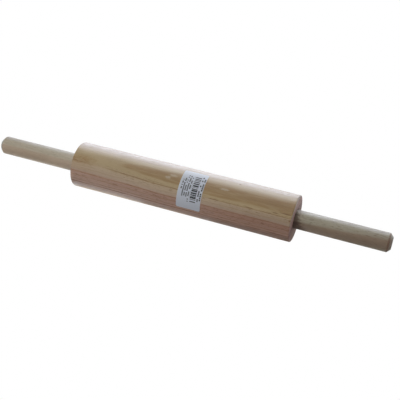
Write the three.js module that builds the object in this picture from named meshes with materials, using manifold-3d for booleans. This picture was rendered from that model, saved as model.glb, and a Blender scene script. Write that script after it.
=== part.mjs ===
// A wooden rolling pin. A turned pine barrel has a blind bore in each end, and a straight dowel handle turns
// in each bore. A groove is turned round each handle near its inner end, and a small peg through the barrel's
// wall rides in the groove, so the handle spins but can't come out. A paper price label is stuck on the barrel.
// Millimetres, +Z up. The pin lies along X, and the origin is on the table, under the middle of the barrel.
import * as THREE from "three";
import { mergeVertices } from "three/addons/utils/BufferGeometryUtils.js";
import Module from "manifold-3d";

// Barrel
const barrelDiameter = 50;
const barrelLength = 250;
const barrelRimRadius = 1;
const boreMouthChamfer = 1;
const boreEndRoom = 2;
const drillPointAngle = 118;

// Handles
const handleDiameter = 20;
const handleReach = 100;
const handleTenon = 60;
const handleTipChamfer = 3.5;
const handleInnerChamfer = 1.5;
const grooveDepth = 3.5;
const grooveShoulder = 12;

// Retaining pegs
const pegDiameter = 6;
const pegTipChamfer = 0.8;

// Price label
const labelWidth = 27;
const labelLength = 45;
const labelCornerRadius = 2;
const labelPaper = 0.15;
const labelOffset = 14.5;
const labelAngle = 48.5;

// Clearances, each on one side
const runningClearance = 0.5;
const grooveFloat = 0.5;
const pegTipClearance = 0.5;
const glueLine = 0.15;
const adhesiveFilm = 0.05;

// Facets
const barrelSides = 72;
const handleSides = 48;
const pegSides = 24;
const rimSteps = 4;
const cornerSteps = 5;

// Sizes that follow from those above
const barrelRadius = barrelDiameter / 2;
const barrelEnd = barrelLength / 2;
const handleRadius = handleDiameter / 2;
const boreRadius = handleRadius + runningClearance;
const boreFloor = barrelEnd - handleTenon - boreEndRoom;
const drillPoint = boreRadius / Math.tan(THREE.MathUtils.degToRad(drillPointAngle / 2));
const handleInnerEnd = barrelEnd - handleTenon;
const handleTip = barrelEnd + handleReach;
const neckRadius = handleRadius - grooveDepth;
const grooveStart = handleInnerEnd + grooveShoulder;
const grooveEnd = grooveStart + pegDiameter + 2 * grooveFloat;
const pegPlace = (grooveStart + grooveEnd) / 2;
const pegRadius = pegDiameter / 2;
const pegTip = neckRadius + pegTipClearance;
const labelInside = barrelRadius + adhesiveFilm;
const facetAngle = (2 * Math.PI) / barrelSides;

const wasm = await Module();
wasm.setup();

// The corner radius of a polygon whose flats lie at the given radius, so that a round of that radius fits in it.
function overFlats(radius, sides) {
  return radius / Math.cos(Math.PI / sides);
}

// A solid of revolution about X. The profile's [along, radius] points run from one place on the axis to another.
// The sides are a multiple of four, so a flat of the round faces down.
function turned(profile, sides) {
  const points = profile.map(([along, radius]) => new THREE.Vector2(radius, along));
  const geometry = new THREE.LatheGeometry(points, sides, Math.PI / sides);
  return geometry.rotateZ(-Math.PI / 2);
}

// The same profile for the other end of the pin.
function mirrored(profile) {
  return profile.map(([along, radius]) => [-along, radius]).reverse();
}

// A closed geometry as a solid that can be cut.
function solid(geometry) {
  const bare = geometry.clone();
  bare.deleteAttribute("normal");
  bare.deleteAttribute("uv");
  const merged = mergeVertices(bare);
  const vertProperties = merged.attributes.position.array;
  const triVerts = Uint32Array.from(merged.index.array);
  return new wasm.Manifold(new wasm.Mesh({ numProp: 3, vertProperties, triVerts }));
}

// A cut solid as flat-shaded geometry.
function geometryOf(cutSolid) {
  const { vertProperties, triVerts } = cutSolid.getMesh();
  const shared = new THREE.BufferGeometry();
  shared.setAttribute("position", new THREE.BufferAttribute(vertProperties, 3));
  shared.setIndex(new THREE.BufferAttribute(triVerts, 1));
  const geometry = shared.toNonIndexed();
  geometry.computeVertexNormals();
  return geometry;
}

// The barrel's right end: the rim eased by a quarter round, the face, the bore's chamfered mouth, its wall and
// its drill point.
function barrelEndProfile() {
  const rim = [];
  for (let step = 0; step <= rimSteps; step += 1) {
    const angle = (Math.PI / 2) * (1 - step / rimSteps);
    const along = barrelEnd - barrelRimRadius * (1 - Math.cos(angle));
    const radius = barrelRadius - barrelRimRadius * (1 - Math.sin(angle));
    rim.push([along, radius]);
  }
  return [
    ...rim,
    [barrelEnd, boreRadius + boreMouthChamfer],
    [barrelEnd - boreMouthChamfer, boreRadius],
    [boreFloor, boreRadius],
    [boreFloor - drillPoint, 0],
  ];
}

// The round stock of a peg or of its hole, which stands on the pin's axis at the given place and points to the
// back.
function crossRound(profile, place) {
  const points = profile.map(([along, radius]) => new THREE.Vector2(radius, along));
  return new THREE.LatheGeometry(points, pegSides, Math.PI / pegSides).translate(place, 0, 0);
}

// The barrel, with its two bores and the hole that each peg is driven through.
function barrelGeometry() {
  const rightEnd = barrelEndProfile();
  const outline = [...mirrored(rightEnd), ...rightEnd];
  const corners = outline.map(([along, radius]) => [along, overFlats(radius, barrelSides)]);
  const holeRadius = overFlats(pegRadius + glueLine, pegSides);
  const hole = [
    [0, 0],
    [0, holeRadius],
    [barrelDiameter, holeRadius],
    [barrelDiameter, 0],
  ];
  const leftHole = solid(crossRound(hole, -pegPlace));
  const rightHole = solid(crossRound(hole, pegPlace));
  return geometryOf(solid(turned(corners, barrelSides)).subtract(leftHole).subtract(rightHole));
}

// A handle at the right end: its inner end with a lead-in chamfer, the retaining groove, the grip and the
// chamfered tip.
function handleProfile() {
  return [
    [handleInnerEnd, 0],
    [handleInnerEnd, handleRadius - handleInnerChamfer],
    [handleInnerEnd + handleInnerChamfer, handleRadius],
    [grooveStart, handleRadius],
    [grooveStart, neckRadius],
    [grooveEnd, neckRadius],
    [grooveEnd, handleRadius],
    [handleTip - handleTipChamfer, handleRadius],
    [handleTip, handleRadius - handleTipChamfer],
    [handleTip, 0],
  ];
}

// A peg: chamfered at the tip that rides in the groove, and trimmed flush with the barrel at the other end.
function pegGeometry(place) {
  const stock = [
    [pegTip, 0],
    [pegTip, pegRadius - pegTipChamfer],
    [pegTip + pegTipChamfer, pegRadius],
    [barrelDiameter, pegRadius],
    [barrelDiameter, 0],
  ];
  const envelopeRadius = overFlats(barrelRadius, barrelSides);
  const envelope = [
    [-barrelEnd, 0],
    [-barrelEnd, envelopeRadius],
    [barrelEnd, envelopeRadius],
    [barrelEnd, 0],
  ];
  return geometryOf(solid(crossRound(stock, place)).intersect(solid(turned(envelope, barrelSides))));
}

// Half the label's width at rows round the barrel, as [arc, halfWidth] pairs: round corners at both ends, and
// straight between them, with a row at least as often as the barrel has a corner.
function labelRows() {
  const straight = labelLength / 2 - labelCornerRadius;
  const corner = [];
  for (let step = 0; step <= cornerSteps; step += 1) {
    const angle = (Math.PI / 2) * (step / cornerSteps);
    const arc = straight + labelCornerRadius * Math.sin(angle);
    const halfWidth = labelWidth / 2 - labelCornerRadius * (1 - Math.cos(angle));
    corner.push([arc, halfWidth]);
  }
  const rowCount = Math.ceil((2 * straight) / labelInside / facetAngle);
  const middle = [];
  for (let row = 1; row < rowCount; row += 1) {
    middle.push([straight * ((2 * row) / rowCount - 1), labelWidth / 2]);
  }
  return [...mirrored(corner), ...middle, ...corner];
}

// The label: a sheet of even thickness bent round the barrel, built from a four-cornered section at each row.
function labelGeometry() {
  const rows = labelRows();
  const positions = [];
  for (const [arc, halfWidth] of rows) {
    const angle = THREE.MathUtils.degToRad(labelAngle) + arc / labelInside;
    const section = [
      [-halfWidth, 0],
      [halfWidth, 0],
      [halfWidth, labelPaper],
      [-halfWidth, labelPaper],
    ];
    for (const [across, height] of section) {
      const radius = overFlats(labelInside, barrelSides) + height;
      positions.push(labelOffset + across, -radius * Math.cos(angle), radius * Math.sin(angle));
    }
  }
  const corners = 4;
  const last = (rows.length - 1) * corners;
  const faces = [0, 1, 2, 0, 2, 3, last, last + 2, last + 1, last, last + 3, last + 2];
  for (let row = 0; row < rows.length - 1; row += 1) {
    for (let side = 0; side < corners; side += 1) {
      const here = row * corners + side;
      const beside = row * corners + ((side + 1) % corners);
      faces.push(here, beside + corners, beside, here, here + corners, beside + corners);
    }
  }
  const geometry = new THREE.BufferGeometry();
  geometry.setAttribute("position", new THREE.Float32BufferAttribute(positions, 3));
  geometry.setIndex(faces);
  geometry.computeVertexNormals();
  return geometry;
}

const pine = new THREE.MeshStandardMaterial({ color: 0xb8945f, roughness: 0.55, metalness: 0 });
const paleHardwood = new THREE.MeshStandardMaterial({ color: 0xc4b28a, roughness: 0.55, metalness: 0 });
const pegHardwood = new THREE.MeshStandardMaterial({ color: 0xa88a60, roughness: 0.6, metalness: 0 });
const whitePaper = new THREE.MeshStandardMaterial({ color: 0xe3e6ee, roughness: 0.5, metalness: 0 });

const pin = new THREE.Group();

function addPiece(name, geometry, material) {
  const piece = new THREE.Mesh(geometry, material);
  piece.name = name;
  pin.add(piece);
}

addPiece("barrel", barrelGeometry(), pine);
addPiece("left_handle", turned(mirrored(handleProfile()), handleSides), paleHardwood);
addPiece("right_handle", turned(handleProfile(), handleSides), paleHardwood);
addPiece("left_retaining_peg", pegGeometry(-pegPlace), pegHardwood);
addPiece("right_retaining_peg", pegGeometry(pegPlace), pegHardwood);
addPiece("price_label", labelGeometry(), whitePaper);

// The pin's axis lies one barrel radius above the table.
pin.position.z = barrelRadius;
const rollingPin = new THREE.Group();
rollingPin.add(pin);

export default rollingPin;
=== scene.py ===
"""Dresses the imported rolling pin: turned surfaces, wood and paper finishes, a plain studio and the camera.

Everything is in metres in the part's own frame: the pin lies along X, Z is up and the table is at Z = 0.
An angle round the pin is measured from the front, -Y, upwards. Profiles and finishes work in millimetres from
the pin's axis.
"""

import logging
import math
from dataclasses import dataclass
from enum import Enum
from functools import partial, reduce
from typing import ClassVar, Sequence

import bpy
import numpy as np
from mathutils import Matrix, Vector


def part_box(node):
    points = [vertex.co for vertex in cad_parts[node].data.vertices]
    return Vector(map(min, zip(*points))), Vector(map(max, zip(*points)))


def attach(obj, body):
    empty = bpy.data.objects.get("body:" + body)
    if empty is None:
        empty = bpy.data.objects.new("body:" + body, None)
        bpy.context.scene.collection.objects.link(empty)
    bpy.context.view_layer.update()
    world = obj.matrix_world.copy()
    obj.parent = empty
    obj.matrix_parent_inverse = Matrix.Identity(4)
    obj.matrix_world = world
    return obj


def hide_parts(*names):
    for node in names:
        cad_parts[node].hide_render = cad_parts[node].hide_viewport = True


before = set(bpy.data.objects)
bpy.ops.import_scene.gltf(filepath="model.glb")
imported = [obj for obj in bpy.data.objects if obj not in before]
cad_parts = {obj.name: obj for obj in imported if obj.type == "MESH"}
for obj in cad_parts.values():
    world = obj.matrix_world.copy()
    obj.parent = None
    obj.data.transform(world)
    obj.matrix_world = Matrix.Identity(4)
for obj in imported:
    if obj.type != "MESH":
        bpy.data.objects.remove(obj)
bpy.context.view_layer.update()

MM = 0.001
LOG = logging.getLogger("rolling_pin")

Pair = tuple[float, float]
Triple = tuple[float, float, float]
Colour = tuple[float, float, float]
Stop = tuple[float, Colour]
Spot = tuple[float, float, float, float]
Array = np.ndarray
Piece = bpy.types.Object
Mesh = bpy.types.Mesh
Material = bpy.types.Material
Tree = bpy.types.NodeTree
Node = bpy.types.Node
Result = bpy.types.NodeSocket
Feed = float | Sequence[float] | Result
Feeds = dict[str | int, Feed]

WHITE: Colour = (1.0, 1.0, 1.0)
ONE_EACH: Triple = (1.0, 1.0, 1.0)
UNMOVED: Triple = (0.0, 0.0, 0.0)
ALONG_PIN: Triple = (1.0, 0.0, 0.0)
ACROSS_PIN: Triple = (0.0, 1.0, 0.0)


class Side(Enum):
    """An end of the pin, as the sign of its X direction."""

    LEFT = -1
    RIGHT = 1

    @property
    def word(self) -> str:
        """The side as it stands in the pieces' names."""
        return self.name.lower()


class Rays(Enum):
    """Which part of a surface's light a softbox adds to."""

    MATT = "matt"
    GLOSSY = "glossy"


class Socket(Enum):
    """The kinds of socket that a node group has."""

    VALUE = "NodeSocketFloat"
    VECTOR = "NodeSocketVector"


def box_sides(node: str) -> tuple[Array, Array]:
    """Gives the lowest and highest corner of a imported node.

    Args:
        node: the node's name.

    Returns:
        The two corners in metres.
    """
    low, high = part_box(node)
    return np.array(low), np.array(high)


BARREL_LOW, BARREL_HIGH = box_sides("barrel")
AXIS_HEIGHT = float(BARREL_LOW[2] + BARREL_HIGH[2]) / 2

# Millimetres
BARREL_RADIUS = AXIS_HEIGHT / MM
BARREL_END = float(BARREL_HIGH[0]) / MM
HANDLE_TIP = float(box_sides("right_handle")[1][0]) / MM


def from_axis(points: Array) -> Array:
    """Takes places in millimetres from the pin's axis to metres in the part's frame."""
    return points * MM + np.array([0.0, 0.0, AXIS_HEIGHT])


@dataclass
class Surface:
    """A surface of joined faces.

    Attributes:
        points: the vertices in metres, one row each.
        faces: arrays of vertex numbers, one array for each number of corners.
    """

    points: Array
    faces: list[Array]

    def to_object(self, name: str, sharp_degrees: float = 40.0) -> Piece:
        """Puts the surface into a new object at the origin.

        Args:
            name: the object's name.
            sharp_degrees: edges that turn by more than this are drawn sharp.

        Returns:
            The object, linked to the scene.
        """
        mesh = bpy.data.meshes.new(name)
        corners = [face for group in self.faces for face in group.tolist()]
        mesh.from_pydata(self.points.tolist(), [], corners)
        mesh.validate()
        piece = bpy.data.objects.new(name, mesh)
        bpy.context.scene.collection.objects.link(piece)
        smooth(mesh, sharp_degrees)
        return piece


def smooth(mesh: Mesh, sharp_degrees: float) -> None:
    """Shades a mesh smooth, with its sharper edges left sharp.

    Args:
        mesh: the mesh to shade.
        sharp_degrees: edges that turn by more than this are drawn sharp.
    """
    mesh.shade_smooth()
    mesh.set_sharp_from_angle(angle=math.radians(sharp_degrees))


def full_turn(segments: int) -> Array:
    """Gives even angles round a full turn, in radians."""
    return np.linspace(0.0, 2 * np.pi, segments, endpoint=False)


def sheet_faces(rows: int, columns: int) -> Array:
    """Numbers the four-cornered faces of an open grid of points.

    Args:
        rows: rows of points.
        columns: points in a row.

    Returns:
        One row of four vertex numbers for each face.
    """
    number = np.arange(rows * columns).reshape(rows, columns)
    corners = [number[:-1, :-1], number[:-1, 1:], number[1:, 1:], number[1:, :-1]]
    return np.stack(corners, axis=-1).reshape(-1, 4)


def closed_rings(rings: Array, start: Array, end: Array) -> Surface:
    """Joins rings of points into a closed surface, with a fan to a pole at each end.

    Face (i, j) joins the points (i, j), (i + 1, j), (i + 1, j + 1) and (i, j + 1), and each ring closes.

    Args:
        rings: the points, by ring, place in the ring and coordinate.
        start: the pole before the first ring.
        end: the pole after the last ring.

    Returns:
        The surface. It faces outwards if the rings follow each other along their axis and turn left about it.
    """
    rows, columns, _ = rings.shape
    here = np.arange(columns)
    beside = (here + 1) % columns
    row = np.arange(rows - 1)[:, None] * columns
    next_row = row + columns
    sides = np.stack([row + here, next_row + here, next_row + beside, row + beside], axis=-1).reshape(-1, 4)
    last = (rows - 1) * columns
    first_pole = np.full(columns, rows * columns)
    first_fan = np.stack([first_pole, here, beside], axis=-1)
    last_fan = np.stack([last + here, first_pole + 1, last + beside], axis=-1)
    points = np.concatenate([rings.reshape(-1, 3), start[None], end[None]])
    return Surface(points, [sides, np.concatenate([first_fan, last_fan])])


def eased(corners: Array, reach: Array, steps: int = 6, most: float = 0.45) -> Array:
    """Rounds the inner corners of a profile.

    Each corner c is replaced by the curve (1 - t)^2 a + 2 t (1 - t) c + t^2 b, with a and b on its two sides.

    Args:
        corners: the profile's corner points.
        reach: how far from each inner corner its curve starts, in the profile's unit.
        steps: points on each curve.
        most: the largest share of a side that a curve takes.

    Returns:
        The rounded profile.
    """
    before, corner, after = corners[:-2], corners[1:-1], corners[2:]
    towards_before = before - corner
    towards_after = after - corner
    length_before = np.linalg.norm(towards_before, axis=1)
    length_after = np.linalg.norm(towards_after, axis=1)
    limit = np.minimum(reach, most * np.minimum(length_before, length_after))[:, None]
    a = (corner + towards_before / length_before[:, None] * limit)[:, None]
    b = (corner + towards_after / length_after[:, None] * limit)[:, None]
    t = np.linspace(0.0, 1.0, steps)[None, :, None]
    curves = (1 - t) ** 2 * a + 2 * t * (1 - t) * corner[:, None] + t**2 * b
    return np.concatenate([corners[:1], curves.reshape(-1, 2), corners[-1:]])


def spaced(profile: Array, step: float) -> Array:
    """Adds points to the long stretches of a profile.

    Args:
        profile: the profile's points.
        step: the longest stretch that is left, in the profile's unit.

    Returns:
        The profile with even steps along each long stretch.
    """
    lengths = np.linalg.norm(np.diff(profile, axis=0), axis=1)
    counts = np.maximum(1, np.ceil(lengths / step)).astype(int)
    along = np.concatenate([np.arange(count) / count for count in counts])
    index = np.repeat(np.arange(len(counts)), counts)
    points = profile[index] + along[:, None] * (profile[index + 1] - profile[index])
    return np.concatenate([points, profile[-1:]])


def turned(profile: Array, segments: int, worn: Array) -> Surface:
    """Turns a profile about the pin's axis.

    Point (i, j) is (x, -r cos a, r sin a) about the axis, with x from point i of the profile, r its radius
    less the wear there, and a the angle j steps up from the front.

    Args:
        profile: rows of X and radius in millimetres, which start and end on the axis.
        segments: steps in the full turn.
        worn: depth of wear in millimetres, by inner point of the profile and step.

    Returns:
        The closed surface, in metres.
    """
    angle = full_turn(segments)[None]
    radius = profile[1:-1, 1:] - worn
    along = np.repeat(profile[1:-1, :1], segments, axis=1)
    rings = np.stack([along, -radius * np.cos(angle), radius * np.sin(angle)], axis=-1)
    poles = np.stack([profile[[0, -1], 0], np.zeros(2), np.zeros(2)], axis=-1)
    surface = closed_rings(rings, poles[0], poles[1])
    surface.points = from_axis(surface.points)
    return surface


@dataclass(frozen=True)
class Knocks:
    """Small knocks along a turned edge.

    Attributes:
        places: their angles in degrees.
        width: a knock's half width round the edge, in degrees.
        depth: the deepest knock, in millimetres.
        reach: a knock's half width along X, in millimetres.
        least: the smallest share of the full depth that a knock can have.
    """

    places: tuple[float, ...]
    width: float
    depth: float
    reach: float
    least: float = 0.45

    def wear(self, profile: Array, segments: int, edge: float) -> Array:
        """Works out how deep the knocks are.

        A knock's depth falls off as a bell in the distance round the edge and as a bell along X. Each has a
        share of the full depth that the cosine of its number times an uneven turn gives.

        Args:
            profile: rows of X and radius in millimetres.
            segments: steps in the full turn.
            edge: the edge's X in millimetres.

        Returns:
            The depth of wear by inner point of the profile and step.
        """
        angle = np.degrees(full_turn(segments))[:, None]
        apart = (angle - np.array(self.places)[None] + 180.0) % 360.0 - 180.0
        uneven_turn = 2.4
        swing = np.cos(np.arange(len(self.places)) * uneven_turn) ** 2
        share = self.least + (1 - self.least) * swing
        round_edge = (np.exp(-((apart / self.width) ** 2)) * share[None]).sum(axis=1)
        along = np.exp(-(((profile[1:-1, 0] - edge) / self.reach) ** 2))
        return self.depth * along[:, None] * round_edge[None]


class Component:
    """A piece of the pin.

    Attributes:
        node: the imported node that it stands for.
        body: the body that it moves with.
        slot: the record's material slot.
    """

    node: str
    body: str
    slot: str

    def dress(self, piece: Piece, finish: Material) -> None:
        """Gives the built piece its finish and its place in the part.

        Args:
            piece: the piece's object.
            finish: the material.
        """
        piece.data.materials.clear()
        piece.data.materials.append(finish)
        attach(piece, self.body)
        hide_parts(self.node)
        LOG.info("%s: %d faces on body %s", piece.name, len(piece.data.polygons), self.body)


class Bench:
    """Adds nodes to one node tree and links them."""

    def __init__(self, tree: Tree) -> None:
        """Keeps the tree."""
        self.tree = tree

    def node(self, kind: str, inputs: Feeds | None = None, **settings: object) -> Node:
        """Adds a node.

        Args:
            kind: the node's type.
            inputs: what each named or numbered input holds, or the socket that feeds it.
            **settings: the node's own properties.

        Returns:
            The node.
        """
        made = self.tree.nodes.new(kind)
        for name, value in settings.items():
            setattr(made, name, value)
        for key, feed in (inputs or {}).items():
            if isinstance(feed, Result):
                self.tree.links.new(feed, made.inputs[key])
            else:
                made.inputs[key].default_value = feed
        return made

    def group(self, tree: Tree, **feeds: Feed) -> list[Result]:
        """Places a node group.

        Args:
            tree: the group.
            **feeds: what its inputs hold, or what feeds them, with _ for a space in their names.

        Returns:
            The group's results.
        """
        inputs = {label.replace("_", " "): feed for label, feed in feeds.items()}
        return list(self.node("ShaderNodeGroup", inputs, node_tree=tree).outputs)

    def math(self, operation: str, *feeds: Feed) -> Result:
        """Adds a Math node with these inputs and gives its result."""
        return self.node("ShaderNodeMath", dict(enumerate(feeds)), operation=operation).outputs[0]

    def total(self, *feeds: Feed) -> Result:
        """Adds values up."""
        return reduce(partial(self.math, "ADD"), feeds)

    def product(self, *feeds: Feed) -> Result:
        """Multiplies values."""
        return reduce(partial(self.math, "MULTIPLY"), feeds)

    def largest(self, *feeds: Feed) -> Result:
        """Gives the largest of some values."""
        return reduce(partial(self.math, "MAXIMUM"), feeds)

    def rest(self, share: Feed) -> Result:
        """Gives what a share leaves of 1."""
        return self.math("SUBTRACT", 1.0, share)

    def vector_math(self, operation: str, *feeds: Feed) -> Result:
        """Adds a Vector Math node.

        Args:
            operation: the operation's name in Blender.
            *feeds: the node's inputs.

        Returns:
            A value for a dot product or a length, and a vector otherwise.
        """
        made = self.node("ShaderNodeVectorMath", dict(enumerate(feeds)), operation=operation)
        return made.outputs["Value" if operation in ("DOT_PRODUCT", "LENGTH") else "Vector"]

    def split(self, vector: Feed) -> list[Result]:
        """Gives a vector's X, Y and Z."""
        return list(self.node("ShaderNodeSeparateXYZ", {0: vector}).outputs)

    def rise(self, value: Feed, low: Feed, high: Feed, to_low: Feed = 0.0, to_high: Feed = 1.0) -> Result:
        """Takes a value smoothly from one level to another between two places.

        Args:
            value: the value.
            low: where the rise starts.
            high: where it ends.
            to_low: the result up to the start.
            to_high: the result past the end.

        Returns:
            The result.
        """
        feeds = {"Value": value, 1: low, 2: high, 3: to_low, 4: to_high}
        return self.node("ShaderNodeMapRange", feeds, interpolation_type="SMOOTHSTEP").outputs[0]

    def fall(self, value: Feed, low: float, high: float) -> Result:
        """Takes a value smoothly from 1 to 0 between two places."""
        return self.rise(value, low, high, 1.0, 0.0)

    def band(self, value: Feed, rising: Pair, falling: Pair, after: float = 0.0) -> Result:
        """Gives 1 inside a band and 0 outside it, with soft edges.

        Args:
            value: the value.
            rising: where the band's first edge starts and ends.
            falling: where its second edge starts and ends.
            after: what is left past the second edge.

        Returns:
            The mask.
        """
        return self.product(self.rise(value, *rising), self.rise(value, *falling, 1.0, after))

    def blend(self, share: Feed, first: Feed, second: Feed, kind: str = "MIX") -> Result:
        """Blends two colours.

        Args:
            share: how much of the blend shows, from 0 to 1.
            first: the colour underneath.
            second: the colour on top.
            kind: the blend's name in Blender.

        Returns:
            The blended colour.
        """
        padded = [feed if isinstance(feed, Result) else (*feed, 1.0) for feed in (first, second)]
        feeds = {0: share, 6: padded[0], 7: padded[1]}
        return self.node("ShaderNodeMix", feeds, data_type="RGBA", blend_type=kind).outputs[2]

    def tinted(self, colour: Feed, *tints: tuple[Feed, Colour]) -> Result:
        """Multiplies a colour by tints, one after another.

        Args:
            colour: the colour.
            *tints: how much of each tint shows, from 0 to 1, and the tint.

        Returns:
            The tinted colour.
        """
        for share, tint in tints:
            colour = self.blend(share, colour, tint, "MULTIPLY")
        return colour

    def noise(
        self,
        place: Feed,
        lengths: Triple = ONE_EACH,
        shift: Triple = UNMOVED,
        detail: float = 2.0,
        rough: float = 0.5,
    ) -> Result:
        """Gives cloudy noise from 0 to 1.

        Args:
            place: where the noise is read.
            lengths: the noise's own unit along X, Y and Z.
            shift: added to the place in those units.
            detail: how many finer layers the noise has.
            rough: how strong the finer layers are.

        Returns:
            The noise value.
        """
        units = {"Vector": place, "Location": shift, "Scale": tuple(1.0 / length for length in lengths)}
        measured = self.node("ShaderNodeMapping", units).outputs[0]
        feeds = {"Vector": measured, "Scale": 1.0, "Detail": detail, "Roughness": rough}
        return self.node("ShaderNodeTexNoise", feeds).outputs[0]

    def chance(self, number: Feed) -> Node:
        """Adds a node that draws a value and a colour for each whole number."""
        return self.node("ShaderNodeTexWhiteNoise", {"W": number}, noise_dimensions="1D")

    def ramp(self, share: Feed, stops: Sequence[Stop], kind: str = "LINEAR") -> Result:
        """Adds a colour ramp.

        Args:
            share: the place on the ramp, from 0 to 1.
            stops: places on the ramp in rising order, each with its colour.
            kind: how the ramp goes from one stop to the next.

        Returns:
            The colour there.
        """
        made = self.node("ShaderNodeValToRGB", {0: share})
        made.color_ramp.interpolation = kind
        elements = made.color_ramp.elements
        elements.remove(elements[1])
        elements[0].position = stops[0][0]
        elements[0].color = (*stops[0][1], 1.0)
        for place, colour in stops[1:]:
            elements.new(place).color = (*colour, 1.0)
        return made.outputs[0]

    def levels(self, share: Feed, stops: Sequence[Pair], kind: str = "LINEAR") -> Result:
        """Adds a ramp of plain levels, from stops that each have a place on the ramp and a level."""
        return self.ramp(share, [(place, (level,) * 3) for place, level in stops], kind)


@dataclass
class Group:
    """A node group under construction, with its inputs by name and the node that takes its results."""

    bench: Bench
    given: dict[str, Result]
    results: Node

    @classmethod
    def start(cls, name: str, inputs: dict[str, Socket], outputs: Sequence[str]) -> "Group":
        """Starts a group.

        Args:
            name: the group's name.
            inputs: its inputs' names and kinds.
            outputs: the names of its outputs, which are values.

        Returns:
            The group, ready for its nodes.
        """
        tree = bpy.data.node_groups.new(name, "ShaderNodeTree")
        for label, kind in inputs.items():
            tree.interface.new_socket(name=label, in_out="INPUT", socket_type=kind.value)
        for label in outputs:
            tree.interface.new_socket(name=label, in_out="OUTPUT", socket_type=Socket.VALUE.value)
        bench = Bench(tree)
        given = bench.node("NodeGroupInput").outputs
        return cls(bench, {label: given[label] for label in inputs}, bench.node("NodeGroupOutput"))

    def finish(self, **results: Result) -> Tree:
        """Links the group's results to its outputs.

        Args:
            **results: what feeds each output, by the output's name in small letters.

        Returns:
            The finished group.
        """
        for label, socket in results.items():
            self.bench.tree.links.new(socket, self.results.inputs[label.title()])
        return self.bench.tree


class WoodGroups:
    """The node groups that the wood finishes share."""

    def __init__(self) -> None:
        """Builds each group once."""
        self.growth_rings = self._growth_rings()
        self.fibres = self._fibres()
        self.cut_ends = self._cut_ends()
        self.edge_soil_and_shade = self._edge_soil_and_shade()

    @staticmethod
    def _growth_rings() -> Tree:
        """Builds the group that gives the depth under the bark side of the wood, in millimetres.

        The depth is the distance from the tree's heart to the surface on the bark side, less the distance
        from the heart to the place, plus slow waves along the grain.

        Returns:
            The group.
        """
        inputs = {
            "Place": Socket.VECTOR,
            "Bark Side": Socket.VECTOR,
            "Heart": Socket.VALUE,
            "Radius": Socket.VALUE,
            "Wave": Socket.VALUE,
        }
        group = Group.start("growth rings", inputs, ["Depth"])
        bench = group.bench
        place, bark_side, heart, radius, wave = group.given.values()
        across = bench.vector_math("MULTIPLY", place, (0.0, 1.0, 1.0))
        squared = bench.vector_math("DOT_PRODUCT", across, across)
        towards_bark = bench.vector_math("DOT_PRODUCT", across, bark_side)
        doubled = bench.product(heart, 2.0, towards_bark)
        from_heart = bench.math("SQRT", bench.total(bench.product(heart, heart), doubled, squared))
        depth = bench.math("SUBTRACT", bench.total(heart, radius), from_heart)
        slow = bench.noise(place, (70.0, 26.0, 26.0), rough=0.45)
        quick = bench.noise(place, (14.0, 9.0, 9.0), (7.0, 3.0, 1.0))
        fine = bench.noise(place, (4.5, 2.2, 2.2), (1.0, 6.0, 2.0), detail=1.0)
        mixed = bench.math("MULTIPLY_ADD", fine, 0.12, bench.math("MULTIPLY_ADD", quick, 0.22, slow))
        average = 0.67
        waved = bench.product(bench.math("SUBTRACT", mixed, average), wave)
        return group.finish(depth=bench.total(depth, waved))

    @staticmethod
    def _fibres() -> Tree:
        """Builds the group for the long fibres along X: light and dark streaks, and short dark pores.

        Returns:
            The group.
        """
        inputs = {"Place": Socket.VECTOR, "Width": Socket.VALUE, "Length": Socket.VALUE}
        group = Group.start("wood fibres", inputs, ["Streak", "Pore"])
        bench = group.bench
        place, width, length = group.given.values()
        lengths = bench.node("ShaderNodeCombineXYZ", {0: length, 1: width, 2: width}).outputs[0]
        measured = bench.vector_math("DIVIDE", place, lengths)
        streak = bench.noise(measured, detail=4.0, rough=0.6)
        shorter = bench.vector_math("MULTIPLY", measured, (5.0, 1.3, 1.3))
        pore = bench.rise(bench.noise(shorter, detail=1.0), 0.64, 0.76)
        return group.finish(streak=streak, pore=pore)

    @staticmethod
    def _cut_ends() -> Tree:
        """Builds the group that tells where the wood is cut across its fibres.

        The mask is 1 where the surface faces along the fibres and 0 where it faces across them.

        Returns:
            The group.
        """
        group = Group.start("cut ends", {"Facing": Socket.VECTOR, "Fibres": Socket.VECTOR}, ["Mask"])
        bench = group.bench
        along = bench.vector_math("DOT_PRODUCT", *group.given.values())
        return group.finish(mask=bench.rise(bench.math("ABSOLUTE", along), 0.3, 0.85))

    @staticmethod
    def _edge_soil_and_shade() -> Tree:
        """Builds the group for a mask along an edge, broken up by noise: grey soil and rubbing at the
        barrel's rims and the dowels' tips, and painted shade round a dowel's root.

        Returns:
            The group.
        """
        inputs = {"Place": Socket.VECTOR, "Distance": Socket.VALUE, "Width": Socket.VALUE}
        group = Group.start("edge soil and shade", inputs, ["Mask"])
        bench = group.bench
        place, distance, width = group.given.values()
        patchy = bench.noise(place, (3.0, 3.0, 3.0), detail=4.0, rough=0.6)
        reach = bench.product(width, bench.rise(patchy, 0.35, 0.7, 0.25, 1.6))
        return group.finish(mask=bench.fall(bench.math("DIVIDE", distance, reach), 0.0, 1.0))


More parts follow.
